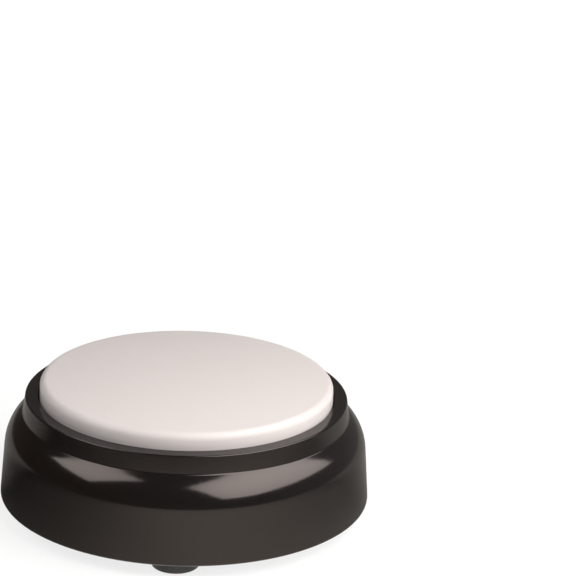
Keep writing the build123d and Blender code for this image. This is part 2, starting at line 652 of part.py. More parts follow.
def contact_spring(side, end):
    """A tapered coil whose foot is let into its plate."""
    length = CONTACT_SPRING - CONTACT_WIRE / 2 - REST_GAP
    start = end * (BAY_LENGTH / 2 - CONTACT)
    wire = CONTACT_WIRE / 2
    free_radius = CONTACT_SPRING_RADIUS * CONTACT_TAPER
    spring = coil(CONTACT_SPRING_RADIUS, free_radius, wire, length, CONTACT_TURNS)
    return Pos(start, BAY_Y + side * CELL_Y, CELL_Z) * Rot(0, -90 * end, 0) * spring


def contact_tab_places():
    return [(TAB_X, BAY_Y + CELL_Y), (TAB_X, BAY_Y - CELL_Y)]


def contact_tab(place):
    x, y = place
    return block(CONTACT, TAB_WIDTH, CELL_Z, BOARD_TOP_Z + TAB_RISE, x, y)


def battery_bridge():
    """Joins both cells at the left end of the bay."""
    plate = contact_plate(0, -1, width=2 * CELL_Y + CONTACT_SIZE)
    return plate + contact_spring(1, -1) + contact_bump(-1, -1)


def positive_contact():
    return contact_plate(1, 1) + contact_bump(1, 1) + contact_tab(contact_tab_places()[0])


def negative_contact():
    return contact_plate(-1, 1) + contact_spring(-1, 1) + contact_tab(contact_tab_places()[1])


# ---- speaker, face down on the base cover ----
def speaker_gasket():
    return ring(SPEAKER_RADIUS, SPEAKER_RADIUS - SPEAKER_FLANGE, FLOOR_Z, GASKET_Z, 0, SPEAKER_Y)


def basket_line(radius_shift):
    """Where the basket's sloping wall starts and ends, moved outwards by radius_shift."""
    foot_radius = SPEAKER_RADIUS - SPEAKER_FLANGE
    return (foot_radius + radius_shift, FLANGE_Z), (MAGNET_RADIUS + radius_shift, BACK_Z)


def speaker_frame():
    inner_foot, inner_top = basket_line(0.0)
    outer_foot, outer_top = basket_line(SPEAKER_PLATE)
    hole = COIL_RADIUS + COIL_WALL
    points = [
        (inner_foot[0], CONE_Z),
        (SPEAKER_RADIUS, CONE_Z),
        (SPEAKER_RADIUS, FLANGE_Z),
        outer_foot,
        (outer_top[0], MAGNET_Z),
        (hole, MAGNET_Z),
        (hole, BACK_Z),
        inner_top,
        inner_foot,
        (inner_foot[0], CONE_Z),
    ]
    body = turned(*outline(points))
    window_low = FLANGE_Z + WINDOW_MARGIN
    window_high = BACK_Z - WINDOW_MARGIN
    for index in range(WINDOW_COUNT):
        window_x = MAGNET_RADIUS + SPEAKER_RADIUS / 2
        window = block(SPEAKER_RADIUS, WINDOW_WIDTH, window_low, window_high, window_x)
        body -= Rot(0, 0, 360.0 * (index + 0.5) / WINDOW_COUNT) * window
    shelf_reach = STRIP_GAP + STRIP[0]
    shelf = block(shelf_reach, STRIP[1], BACK_Z, MAGNET_Z, -MAGNET_RADIUS - shelf_reach / 2)
    return Pos(0, SPEAKER_Y, 0) * (body + shelf)


def speaker_magnet():
    return ring(MAGNET_RADIUS, MAGNET_HOLE, MAGNET_Z, YOKE_Z, 0, SPEAKER_Y)


def speaker_yoke():
    plate = disc(MAGNET_RADIUS, YOKE_Z, YOKE_Z + YOKE, 0, SPEAKER_Y)
    return plate + disc(POLE_RADIUS, BACK_Z, YOKE_Z, 0, SPEAKER_Y)


def speaker_cone():
    """Paper cone with its rolled edge, which is glued under the frame's flange."""
    edge = SPEAKER_RADIUS - SPEAKER_FLANGE
    root = edge - CONE_ROLL
    crest = edge - CONE_ROLL / 2
    rise = CONE_ROLL / 3
    rim = SPEAKER_RADIUS - PAPER
    low = GASKET_Z
    deep = low + CONE_DEPTH
    front = Line((COIL_RADIUS, deep), (root, low))
    front_roll = ThreePointArc((root, low), (crest, low + rise), (edge, low))
    glued = outline([(edge, low), (rim, low), (rim, CONE_Z), (edge, CONE_Z)])
    back_roll = ThreePointArc((edge, CONE_Z), (crest, CONE_Z + rise), (root, CONE_Z))
    back = outline([(root, CONE_Z), (COIL_RADIUS, deep + PAPER), (COIL_RADIUS, deep)])
    return Pos(0, SPEAKER_Y, 0) * turned(front, front_roll, *glued, back_roll, *back)


def speaker_voice_coil():
    low = GASKET_Z + CONE_DEPTH - PAPER
    return ring(COIL_RADIUS, COIL_RADIUS - COIL_WALL, low, MAGNET_Z + MAGNET_HEIGHT / 2, 0, SPEAKER_Y)


def speaker_dust_cap():
    """A shallow shell over the mouth of the voice coil, crowned towards the grille."""
    rim_z = GASKET_Z + CONE_DEPTH - PAPER
    shell = dome(COIL_RADIUS, DUST_CAP_RISE) - dome(COIL_RADIUS - PAPER, DUST_CAP_RISE - PAPER)
    return Pos(0, SPEAKER_Y, rim_z) * Rot(180, 0, 0) * shell


def speaker_strip():
    size_x, size_y, thickness = STRIP
    return block(size_x, size_y, MAGNET_Z, MAGNET_Z + thickness, STRIP_X, SPEAKER_Y)


def speaker_clamp():
    top = FLANGE_Z + CLAMP
    inner = SPEAKER_RADIUS - CLAMP_LAP
    body = ring(SPEAKER_RADIUS + CLAMP_LAP, inner, FLANGE_Z, top)
    arm_reach = EAR_CIRCLE - SPEAKER_RADIUS
    for bearing, (x, y) in zip(CLAMP_EAR_BEARINGS, EAR_PLACES):
        arm = block(arm_reach, 2 * CLAMP_POST_RADIUS, FLANGE_Z, top, SPEAKER_RADIUS + arm_reach / 2)
        body += Rot(0, 0, bearing) * arm
        body += disc(CLAMP_POST_RADIUS, FLANGE_Z, top, x, y)
        body -= disc(CLAMP_SCREW[0], FLANGE_Z, top, x, y)
    return Pos(0, SPEAKER_Y, 0) * body


def clamp_screws():
    seat = FLANGE_Z + CLAMP
    return group(screw(CLAMP_SCREW, x, SPEAKER_Y + y, seat, False) for x, y in EAR_PLACES)


def speaker_lead(side):
    """From the speaker's terminal strip up to the underside of the board."""
    y = SPEAKER_Y + side * STRIP[1] / 4
    low = MAGNET_Z + STRIP[2]
    points = [
        (STRIP_X, y, low),
        (STRIP_X, y, low + LEAD_STUB),
        (STRIP_X - LEAD_SPAN, y + side * LEAD_CLIMB, BOARD_Z - LEAD_STUB),
        (STRIP_X - LEAD_SPAN, y + side * LEAD_CLIMB, BOARD_Z),
    ]
    return lead(points)


# ---- circuit board ----
def circuit_board():
    body = disc(BOARD_RADIUS, BOARD_Z, BOARD_TOP_Z)
    for x, y in LEG_PLACES:
        body -= disc(WASHER_RADIUS + BOARD_HOLE_MARGIN, BOARD_Z, BOARD_TOP_Z, x, y)
    for x, y in BOARD_POSTS:
        body -= disc(BOARD_SCREW[0], BOARD_Z, BOARD_TOP_Z, x, y)
    for x, y in contact_tab_places():
        body -= block(CONTACT + TAB_SLOT_GAP, TAB_WIDTH + TAB_SLOT_GAP, BOARD_Z, BOARD_TOP_Z, x, y)
    return body


def board_screws():
    return group(screw(BOARD_SCREW, x, y, BOARD_TOP_Z, False) for x, y in BOARD_POSTS)


def voice_chip():
    """The voice chip under its drop of epoxy."""
    x, y = CHIP_PLACE
    return Pos(x, y, BOARD_TOP_Z) * dome(CHIP_RADIUS, CHIP_RISE)


def lying_can(place, radius, length):
    """A round can lying under the board, with its two wires bent up into the board."""
    x, y = place
    axis_z = BOARD_Z - radius - REST_GAP
    body = Pos(x, y, axis_z) * Rot(0, 90, 0) * disc(radius, 0, length)
    body = fillet(body.edges(), CAN_ROUNDING)
    wire_x = x - CAN_WIRE_REACH
    for side in (-1, 1):
        wire_y = y + side * radius / 2
        body += Pos(wire_x, wire_y, axis_z) * Rot(0, 90, 0) * disc(CAN_WIRE, 0, CAN_WIRE_REACH)
        body += disc(CAN_WIRE, axis_z - CAN_WIRE, BOARD_Z, wire_x, wire_y)
    return body


def chip_row(size, start, pitch, count):
    size_x, size_y, height = size
    x, y = start
    top = BOARD_TOP_Z + height
    return group(block(size_x, size_y, BOARD_TOP_Z, top, x + pitch * index, y) for index in range(count))


# ---- setting keys ----
def set_key(x, y):
    outer_end = COVER_Z - KEY_PROUD
    seat = FLOOR_Z + REST_GAP
    body = disc(KEY_RADIUS, outer_end, seat, x, y)
    body = fillet(level_edges(body, outer_end), KEY_PROUD)
    body += disc(KEY_RADIUS + KEY_FLANGE_REACH, seat, seat + KEY_FLANGE, x, y)
    body += disc(KEY_STEM_RADIUS, seat, KEY_DOME_Z - REST_GAP, x, y)
    return body


def set_dome(x, y):
    dome = rubber_dome(KEY_DOME_RADIUS, KEY_STEM_RADIUS, KEY_DOME_HEIGHT)
    return Pos(x, y, BOARD_Z) * Rot(180, 0, 0) * dome


def nodes():
    """Every piece of the clock under its name."""
    pieces = {
        "top_housing": top_housing(),
        "button_cap": button_cap(),
        "button_washers": button_washers(),
        "button_screws": button_screws(),
        "main_dome": Pos(0, 0, BOARD_TOP_Z) * rubber_dome(DOME_RADIUS, DOME_TOP_RADIUS, DOME_HEIGHT),
        "base_cover": base_cover(),
        "case_screws": case_screws(),
        "battery_door": battery_door(),
        "battery_cell_1": cell(1),
        "battery_cell_2": cell(-1),
        "battery_bridge": battery_bridge(),
        "positive_contact": positive_contact(),
        "negative_contact": negative_contact(),
        "speaker_gasket": speaker_gasket(),
        "speaker_frame": speaker_frame(),
        "speaker_magnet": speaker_magnet(),
        "speaker_yoke": speaker_yoke(),
        "speaker_cone": speaker_cone(),
        "speaker_voice_coil": speaker_voice_coil(),
        "speaker_dust_cap": speaker_dust_cap(),
        "speaker_strip": speaker_strip(),
        "speaker_clamp": speaker_clamp(),
        "clamp_screws": clamp_screws(),
        "speaker_lead_1": speaker_lead(-1),
        "speaker_lead_2": speaker_lead(1),
        "circuit_board": circuit_board(),
        "board_screws": board_screws(),
        "voice_chip": voice_chip(),
        "crystal": lying_can(CRYSTAL_PLACE, CRYSTAL_RADIUS, CRYSTAL_LENGTH),
        "capacitor": lying_can(CAPACITOR_PLACE, CAPACITOR_RADIUS, CAPACITOR_LENGTH),
        "resistors": chip_row(RESISTOR, RESISTOR_ROW, RESISTOR_PITCH, RESISTOR_COUNT),
        "transistors": chip_row(TRANSISTOR, TRANSISTOR_ROW, TRANSISTOR_PITCH, TRANSISTOR_COUNT),
    }
    for index, (x, y) in enumerate(LEG_PLACES, start=1):
        pieces[f"return_spring_{index}"] = return_spring(x, y)
    for name, (x, y) in zip(FOOT_NAMES, FOOT_PLACES):
        pieces[name] = foot(x, y)
    for index, (x, y) in enumerate(KEY_PLACES, start=1):
        pieces[f"set_key_{index}"] = set_key(x, y)
        pieces[f"set_dome_{index}"] = set_dome(x, y)
    return pieces


os.makedirs("parts", exist_ok=True)
for name, shape in nodes().items():
    export_step(shape, f"parts/{name}.step")
print("overall", round(2 * RIM_RADIUS, 2), "across,", round(APEX_Z, 2), "high")
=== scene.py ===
import json
from math import cos, pi, radians, sin

import bpy
from mathutils import Matrix, Vector

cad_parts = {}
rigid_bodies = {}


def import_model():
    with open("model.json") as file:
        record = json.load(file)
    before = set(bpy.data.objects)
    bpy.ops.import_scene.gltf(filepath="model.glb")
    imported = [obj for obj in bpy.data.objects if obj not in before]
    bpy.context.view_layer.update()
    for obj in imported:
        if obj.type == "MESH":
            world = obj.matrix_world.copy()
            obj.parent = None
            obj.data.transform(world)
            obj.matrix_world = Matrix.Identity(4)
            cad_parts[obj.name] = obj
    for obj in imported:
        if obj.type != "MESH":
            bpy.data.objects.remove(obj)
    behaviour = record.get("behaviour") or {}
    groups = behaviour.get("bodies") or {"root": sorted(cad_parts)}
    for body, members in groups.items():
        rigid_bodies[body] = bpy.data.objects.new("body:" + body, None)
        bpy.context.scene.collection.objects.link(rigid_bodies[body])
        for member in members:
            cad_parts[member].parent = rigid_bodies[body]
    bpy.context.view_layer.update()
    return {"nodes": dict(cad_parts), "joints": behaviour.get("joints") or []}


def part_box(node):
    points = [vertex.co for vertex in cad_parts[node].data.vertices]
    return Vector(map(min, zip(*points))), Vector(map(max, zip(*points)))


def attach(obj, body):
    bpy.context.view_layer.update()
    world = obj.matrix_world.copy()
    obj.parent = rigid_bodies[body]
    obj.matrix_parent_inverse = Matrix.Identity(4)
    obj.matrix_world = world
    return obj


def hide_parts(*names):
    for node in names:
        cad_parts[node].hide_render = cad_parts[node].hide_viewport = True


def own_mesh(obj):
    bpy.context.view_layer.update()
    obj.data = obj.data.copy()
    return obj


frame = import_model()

# Talking clock with one large push button, dressed for a studio picture.
# Metres throughout, in the part's own frame: -Y is the front, +X the right, +Z up.
# A bearing is in degrees from the front, positive to the right, and a rise in degrees above level.

MM = 0.001

# ---- camera: its place is taken from a point over the middle of the feet plane ----
CAMERA_PIVOT_HEIGHT = 3.6 * MM
CAMERA_BEARING = 2.7
CAMERA_RISE = 23.41
CAMERA_DISTANCE = 0.6909
CAMERA_YAW = -2.301  # degrees turned from the line to the middle
CAMERA_DIP = 18.933  # degrees below level
CAMERA_ROLL = 2.071
CAMERA_LENS = 162.5  # millimetres, on the sensor below
CAMERA_SENSOR = 36.0
CAMERA_CLIP = (0.05, 20.0)

# ---- soft boxes: the corners run round from the lower left, each a bearing, a rise and a reach.
# glow is how bright the cloth is at its lower and upper edge, spread by how much that changes at
# its left and right end, and fade how much dimmer it is at the corners than in the middle ----
KEY_BOX = dict(
    corners=[(28.0, 15.5, 0.60), (109.0, 19.5, 0.58), (112.0, 61.0, 0.81), (4.5, 48.5, 0.955)],
    glow=(5.15, 5.67),
    spread=(0.77, 1.04),
    fade=0.65,
)
FILL_BOX = dict(
    corners=[(-100.5, 31.5, 0.75), (-60.0, 26.5, 0.60), (-32.5, 54.5, 0.75), (-92.0, 62.0, 0.83)],
    glow=(3.2, 3.0),
    spread=(1.05, 1.0),
    fade=0.45,
)
BOX_TONE = (1.0, 0.985, 0.965)

# ---- lamps, all aimed at the object ----
BACK_LAMP = dict(bearing=184.0, rise=54.0, reach=1.0, half_width=0.50, half_height=0.18, radiance=1.1)
SIDE_LAMP = dict(bearing=68.0, rise=12.0, reach=0.8, half_width=0.22, half_height=0.14, radiance=3.0)
UNDER_LAMP = dict(bearing=0.0, rise=-90.0, reach=0.6, half_width=0.60, half_height=0.60, radiance=1.0)

# ---- surroundings, and the painted reflections that polished surfaces alone see ----
ROUND_STEPS = 96  # corners of every round stage piece
AMBIENT = 0.06  # what matt surfaces see of the white surroundings
FLOOR_RADIUS = 6.0
FLOOR_TONE = (0.88, 0.88, 0.88)
FLOOR_WHITE = 1.06  # the floor's own glow to the camera
FLOOR_SHARE = 0.75  # glow against matt tone, at the object's foot
FLOOR_FADE = (0.10, 0.40)  # from here to there the glow takes over
# painted sheen: polished surfaces see the floor glow brightest towards one bearing, standing in for
# how the lamps light it
PAINTED_SHEEN_BEARING = 18.5  # where polished sides see the floor brightest
PAINTED_SHEEN_PEAK = 0.90  # how bright it is there
PAINTED_SHEEN_NARROWING = 3.5  # power with which the sheen falls off from there
PAINTED_SHEEN_REST = (0.02, 0.30)  # what polished sides see besides, in front of the middle and behind it
PAINTED_SHEEN_REST_DEPTH = 0.04  # how far behind the middle that is reached
PAINTED_SHEEN_TONE = (1.0, 0.95, 0.88)
TENT_RADIUS = 2.2
TENT_RINGS = 12
# painted reflections: what the tent and the card glow with, darker or lighter by corner in plan
PAINTED_REFLECTION_TONES = (
    (0.075, 0.055, 0.042),  # front left
    (0.09, 0.088, 0.10),  # front right
    (0.045, 0.032, 0.024),  # back left
    (0.22, 0.205, 0.205),  # back right
)
# the low band of painted reflection round the object
CARD_RADIUS = 0.30
CARD_HEIGHT = 0.11

# ---- surfaces: lengths are in millimetres ----
NOISE_RANGE = (0.3, 0.7)  # nearly all of a noise lies between these
SCUFF_RANGE = (0.66, 0.74)  # only the peaks of a noise are scuffs
CROWN_SWELL = 0.0014  # times the squared radius, how much further down the crown shades
TARNISH = (0.75, 0.72, 0.68)  # what tarnish leaves of a metal's colour
TRACK_PITCH = 2.0  # from one copper track to the next
TRACK_EDGE = (0.80, 0.84)  # where a wave turns into a track
REGION_EDGE = (0.49, 0.51)  # where one layout of tracks gives way to another
CELL_BARE_LOW = 1.4  # bare metal at the low end of a cell, and at its high end
CELL_BARE_HIGH = 1.6
CELL_PRINT_EDGE = 0.1  # over which the foil ends


# ------------------------------------------------------------------ small helpers
def direction(bearing, rise):
    """Unit vector towards a bearing and a rise."""
    a, e = radians(bearing), radians(rise)
    return Vector((sin(a) * cos(e), -cos(a) * cos(e), sin(e)))


def dimmed(color, share):
    """A share of a colour."""
    return tuple(share * part for part in color)


class Nodes:
    """An emptied node tree, with short calls that add to it and give back an output."""

    def __init__(self, owner):
        owner.use_nodes = True
        self.tree = owner.node_tree
        self.tree.nodes.clear()

    def node(self, kind, **settings):
        made = self.tree.nodes.new(kind)
        for name, value in settings.items():
            setattr(made, name, value)
        return made

    def put(self, socket, value):
        """Links an output to a socket, or sets the socket to a number, a vector or a colour."""
        if isinstance(value, bpy.types.NodeSocket):
            self.tree.links.new(value, socket)
        elif socket.type == "RGBA" and len(value) == 3:
            socket.default_value = (*value, 1.0)
        else:
            socket.default_value = value

    def math(self, operation, a, b):
        made = self.node("ShaderNodeMath", operation=operation)
        self.put(made.inputs[0], a)
        self.put(made.inputs[1], b)
        return made.outputs[0]

    def vector(self, operation, a, b=(0.0, 0.0, 0.0)):
        made = self.node("ShaderNodeVectorMath", operation=operation)
        self.put(made.inputs[0], a)
        self.put(made.inputs[1], b)
        return made.outputs["Value" if operation in ("LENGTH", "DOT_PRODUCT") else "Vector"]

    def coordinates(self, kind):
        return self.node("ShaderNodeTexCoord").outputs[kind]

    def split(self, place):
        """The three coordinates of a position, as outputs named X, Y and Z."""
        made = self.node("ShaderNodeSeparateXYZ")
        self.put(made.inputs[0], place)
        return made.outputs

    def spread(self, value, start, end, low=0.0, high=1.0):
        """Maps start..end to low..high, and holds the ends."""
        made = self.node("ShaderNodeMapRange")
        self.put(made.inputs["Value"], value)
        self.put(made.inputs["From Min"], start)
        self.put(made.inputs["From Max"], end)
        self.put(made.inputs["To Min"], low)
        self.put(made.inputs["To Max"], high)
        return made.outputs["Result"]

    def blend(self, factor, a, b):
        """Passes from one colour to another."""
        made = self.node("ShaderNodeMix", data_type="RGBA")
        self.put(made.inputs["Factor"], factor)
        self.put(made.inputs[6], a)
        self.put(made.inputs[7], b)
        return made.outputs[2]

    def mix(self, factor, a, b):
        """Passes from one shader to another."""
        made = self.node("ShaderNodeMixShader")
        self.put(made.inputs["Fac"], factor)
        self.put(made.inputs[1], a)
        self.put(made.inputs[2], b)
        return made.outputs["Shader"]

    def glow(self, color, strength):
        made = self.node("ShaderNodeEmission")
        self.put(made.inputs["Color"], color)
        self.put(made.inputs["Strength"], strength)
        return made.outputs["Emission"]

    def rays(self, *kinds):
        """1 for rays of any of these kinds, 0 for the rest."""
        path = self.node("ShaderNodeLightPath")
        found = path.outputs[kinds[0]]
        for kind in kinds[1:]:
            found = self.math("MAXIMUM", found, path.outputs[kind])
        return found


class Surface(Nodes):
    """A material with one Principled shader; the plain colour is for viewers that read no nodes."""

    def __init__(self, name, plain_color, metallic=0.0):
        self.material = bpy.data.materials.new(name)
        super().__init__(self.material)
        self.material.diffuse_color = (*plain_color, 1.0)
        self.shader = self.node("ShaderNodeBsdfPrincipled")
        output = self.node("ShaderNodeOutputMaterial")
        self.put(output.inputs["Surface"], self.shader.outputs["BSDF"])
        self.set(Metallic=metallic)
        scale = self.node("ShaderNodeVectorMath", operation="SCALE")
        self.put(scale.inputs["Scale"], 1.0 / MM)
        self.put(scale.inputs[0], self.coordinates("Object"))
        self.place = scale.outputs["Vector"]  # position in millimetres
        self.last_bump = None

    def set(self, **inputs):
        """Sets the shader's own sockets; an underscore stands for a space."""
        for name, value in inputs.items():
            self.put(self.shader.inputs[name.replace("_", " ")], value)

    def tint(self, factor, low, high):
        """Base colour from one tone to another."""
        self.set(Base_Color=self.blend(factor, low, high))

    def rough(self, noise, low, high):
        """Roughness from low to high, as the noise goes."""
        self.set(Roughness=self.spread(noise, *NOISE_RANGE, low, high))

    def bump(self, height, depth):
        """Adds relief; depth is what a height of 1 stands for, in millimetres."""
        made = self.node("ShaderNodeBump")
        self.put(made.inputs["Strength"], 1.0)
        self.put(made.inputs["Distance"], depth * MM)
        self.put(made.inputs["Height"], height)
        if self.last_bump:
            self.put(made.inputs["Normal"], self.last_bump)
        self.last_bump = made.outputs["Normal"]
        self.set(Normal=self.last_bump)

    def stretched(self, scale, turn=0.0):
        """The position in millimetres, scaled and turned level, for grain that runs one way."""
        made = self.node("ShaderNodeMapping")
        self.put(made.inputs["Vector"], self.place)
        self.put(made.inputs["Scale"], scale)
        self.put(made.inputs["Rotation"], (0.0, 0.0, radians(turn)))
        return made.outputs["Vector"]

    def noise(self, size, detail=3.0, rough=0.5, distortion=0.0, place=None):
        """Noise from 0 to 1 with lumps of a size in millimetres."""
        made = self.node("ShaderNodeTexNoise")
        self.put(made.inputs["Vector"], place or self.place)
        self.put(made.inputs["Scale"], 1.0 / size)
        self.put(made.inputs["Detail"], detail)
        self.put(made.inputs["Roughness"], rough)
        self.put(made.inputs["Distortion"], distortion)
        return made.outputs[0]

    def cells(self, size, feature="F1", output="Distance"):
        """Cell pattern with cells of a size in millimetres."""
        made = self.node("ShaderNodeTexVoronoi", feature=feature)
        self.put(made.inputs["Vector"], self.place)
        self.put(made.inputs["Scale"], 1.0 / size)
        self.put(made.inputs["Randomness"], 1.0)
        return made.outputs[output]

    def waves(self, size, axis, distortion=0.0, detail=0.0):
        """Waves from 0 to 1 along an axis, with a full wave of a size in millimetres."""
        made = self.node("ShaderNodeTexWave", wave_type="BANDS", bands_direction=axis)
        made.wave_profile = "SIN"
        self.put(made.inputs["Vector"], self.place)
        self.put(made.inputs["Scale"], pi / (10.0 * size))  # the node fits 10 / pi waves in a unit
        self.put(made.inputs["Distortion"], distortion)
        self.put(made.inputs["Detail"], detail)
        return made.outputs["Fac"]


# ------------------------------------------------------------------ plastics and rubber
def housing_black():
    """Black moulded plastic, polished, with faint moulding flow and a few fine scuffs."""
    s = Surface("housing_black", (0.0068, 0.0055, 0.005))
    flow = s.noise(14.0, detail=4.0, rough=0.55, distortion=0.6)
    s.tint(flow, (0.0056, 0.0045, 0.0041), (0.008, 0.0065, 0.0059))
    haze = s.spread(s.noise(9.0, detail=5.0, rough=0.6), *NOISE_RANGE, 0.11, 0.15)
    strokes = s.stretched((1.0, 0.12, 0.35), turn=37.0)
    scuffs = s.noise(1.6, detail=2.0, distortion=0.4, place=strokes)
    scuffed = s.spread(scuffs, *SCUFF_RANGE, 0.0, 0.05)
    s.set(Roughness=s.math("ADD", haze, scuffed), IOR=1.59, Specular_Tint=(1.0, 0.88, 0.84))
    s.bump(s.noise(2.6, detail=2.0, rough=0.4), 0.0012)
    s.bump(s.noise(0.35, detail=2.0), 0.0002)
    return s


def button_white():
    """Warm white moulded plastic with a satin polish and a slightly fuller crown."""
    s = Surface("button_white", (0.665, 0.614, 0.604))
    cloud = s.noise(17.0, detail=4.0, rough=0.55, distortion=0.5)
    s.tint(cloud, (0.657, 0.604, 0.592), (0.673, 0.624, 0.616))
    s.rough(s.noise(6.0, detail=5.0, rough=0.6), 0.38, 0.46)
    place = s.split(s.place)
    across = s.math("MULTIPLY", place["X"], place["X"])
    deep = s.math("MULTIPLY", place["Y"], place["Y"])
    s.bump(s.math("MULTIPLY", s.math("ADD", across, deep), -CROWN_SWELL), 1.0)
    s.bump(s.noise(3.0, detail=2.0, rough=0.4), 0.0015)
    s.bump(s.noise(0.3, detail=2.0), 0.00025)
    return s


def cover_black():
    """Black plastic with the fine spark-eroded grain of a moulded base."""
    s = Surface("cover_black", (0.03, 0.029, 0.03))
    s.tint(s.noise(8.0), (0.024, 0.0232, 0.024), (0.036, 0.035, 0.036))
    grain = s.noise(0.32, detail=4.0, rough=0.65)
    s.rough(grain, 0.48, 0.66)
    s.bump(grain, 0.022)
    return s


def foot_rubber():
    """Black rubber, a little dusty, with a fine pebbled skin."""
    s = Surface("foot_rubber", (0.03, 0.029, 0.028))
    dust = s.spread(s.noise(2.2, detail=5.0, rough=0.65), 0.5, 0.75)
    s.tint(dust, (0.022, 0.0213, 0.0207), (0.06, 0.058, 0.055))
    s.set(Roughness=s.spread(dust, 0.0, 1.0, 0.42, 0.8))
    s.bump(s.cells(0.22, "SMOOTH_F1"), 0.012)
    return s


def key_grey():
    """Grey matt plastic with a fine grain."""
    s = Surface("key_grey", (0.35, 0.35, 0.36))
    s.tint(s.noise(3.0), (0.31, 0.31, 0.32), (0.39, 0.39, 0.40))
    grain = s.noise(0.25, rough=0.6)
    s.rough(grain, 0.42, 0.58)
    s.bump(grain, 0.01)
    return s


def silicone():
    """Milky silicone rubber."""
    s = Surface("silicone", (0.55, 0.55, 0.53))
    s.tint(s.noise(1.8), (0.50, 0.50, 0.48), (0.60, 0.60, 0.58))
    s.rough(s.noise(0.8, detail=4.0, rough=0.6), 0.36, 0.55)
    s.bump(s.noise(0.4, detail=2.0), 0.004)
    return s


def lead(name, color):
    """Soft insulation, faintly lumpy over the strands inside."""
    s = Surface(name, color)
    s.tint(s.noise(1.2), dimmed(color, 0.78), color)
    s.rough(s.noise(0.6), 0.32, 0.5)
    s.bump(s.noise(0.5, detail=2.0), 0.008)
    return s


def gasket_foam():
    """Closed-cell foam."""
    s = Surface("gasket_foam", (0.05, 0.05, 0.05))
    cell = s.cells(0.28)
    s.tint(s.spread(cell, 0.0, 0.7), (0.075, 0.073, 0.072), (0.028, 0.028, 0.028))
    s.set(Roughness=0.9)
    s.bump(cell, 0.06)
    return s


# ------------------------------------------------------------------ metals
def worn_metal(name, color, rough, grain=1.5):
    """Plated metal with cloudy tarnish and fine scratches."""
    s = Surface(name, color, metallic=1.0)
    tarnish = s.spread(s.noise(3.0 * grain, detail=5.0, rough=0.6), 0.45, 0.75)
    s.tint(tarnish, color, tuple(part * stain for part, stain in zip(color, TARNISH)))
    fine = s.noise(0.25 * grain, detail=4.0, rough=0.6)
    s.set(Roughness=s.spread(fine, 0.25, 0.75, 0.75 * rough, 1.4 * rough))
    s.bump(fine, 0.0015)
    return s


def brushed_metal(name, color, rough, along=(1.0, 0.05, 1.0)):
    """Metal with a brushed grain."""
    s = Surface(name, color, metallic=1.0)
    lines = s.noise(0.18, rough=0.6, place=s.stretched(along))
    s.tint(lines, dimmed(color, 0.85), color)
    s.rough(lines, 0.7 * rough, 1.35 * rough)
    s.bump(lines, 0.002)
    return s


def coil_copper():
    """Enamelled copper wire, wound in fine turns, with painted shade between them."""
    s = Surface("coil_copper", (0.72, 0.36, 0.18), metallic=1.0)
    turns = s.waves(0.12, "Z")
    # painted shade: the colour darkens between the turns, where the bump runs low
    s.tint(turns, (0.42, 0.19, 0.09), (0.76, 0.39, 0.20))
    s.set(Roughness=s.spread(turns, 0.0, 1.0, 0.42, 0.24))
    s.bump(turns, 0.03)
    return s


# ------------------------------------------------------------------ papers, ceramics, electronics
def magnet():
    """Sintered ferrite, dark and finely speckled."""
    s = Surface("magnet", (0.06, 0.06, 0.065))
    s.tint(s.spread(s.cells(0.3), 0.1, 0.5), (0.10, 0.10, 0.105), (0.045, 0.045, 0.05))
    s.rough(s.noise(0.5, detail=4.0, rough=0.6), 0.42, 0.68)
    s.bump(s.noise(0.2, rough=0.6), 0.01)
    return s


def cone_paper():
    """Pressed black paper with its fibres showing."""
    s = Surface("cone_paper", (0.04, 0.04, 0.04))
    lay = s.stretched((1.0, 0.25, 1.0), turn=28.0)
    fibres = s.noise(0.25, detail=4.0, rough=0.6, distortion=2.5, place=lay)
    s.tint(s.spread(fibres, 0.45, 0.7), (0.026, 0.026, 0.026), (0.075, 0.073, 0.07))
    s.set(Roughness=0.8)
    s.bump(fibres, 0.03)
    return s


def strip_brown():
    """Paper laminate terminal strip."""
    s = Surface("strip_brown", (0.35, 0.22, 0.10))
    lay = s.stretched((0.3, 1.0, 1.0))
    fibres = s.noise(0.35, detail=5.0, rough=0.65, distortion=1.0, place=lay)
    s.tint(fibres, (0.27, 0.16, 0.07), (0.42, 0.27, 0.13))
    s.rough(fibres, 0.5, 0.72)
    s.bump(fibres, 0.01)
    return s


def board_green():
    """Printed board: green mask over glass weave and copper tracks, laid both ways."""
    s = Surface("board_green", (0.03, 0.16, 0.07))
    weave = s.waves(0.5, "X", distortion=1.0, detail=1.0)
    bare = s.blend(weave, (0.018, 0.105, 0.045), (0.024, 0.125, 0.055))
    across = s.spread(s.waves(TRACK_PITCH, "X"), *TRACK_EDGE)
    deep = s.spread(s.waves(TRACK_PITCH, "Y"), *TRACK_EDGE)
    shows_across = s.spread(s.noise(7.0, detail=0.0), *REGION_EDGE)
    shows_deep = s.spread(s.cells(9.0, output="Position"), *REGION_EDGE)
    across = s.math("MULTIPLY", across, shows_across)
    deep = s.math("MULTIPLY", deep, shows_deep)
    track = s.math("MINIMUM", s.math("ADD", across, deep), 1.0)
    s.tint(track, bare, (0.05, 0.24, 0.09))
    s.rough(s.noise(3.0), 0.26, 0.42)
    s.bump(track, 0.035)
    s.bump(weave, 0.003)
    return s


def epoxy_black():
    """A blob of black epoxy, poured and slightly uneven."""
    s = Surface("epoxy_black", (0.015, 0.015, 0.015))
    s.tint(s.noise(1.0), (0.010, 0.010, 0.010), (0.022, 0.022, 0.022))
    s.rough(s.noise(0.9, detail=4.0, rough=0.6), 0.16, 0.36)
    s.bump(s.noise(1.4, detail=2.0, rough=0.4), 0.03)
    return s


def chip_black():
    """Moulded epoxy of a small package, matt and finely filled."""
    s = Surface("chip_black", (0.03, 0.03, 0.03))
    speck = s.noise(0.12, detail=2.0)
    s.tint(speck, (0.022, 0.022, 0.023), (0.042, 0.042, 0.043))
    s.rough(speck, 0.45, 0.65)
    s.bump(speck, 0.006)
    return s


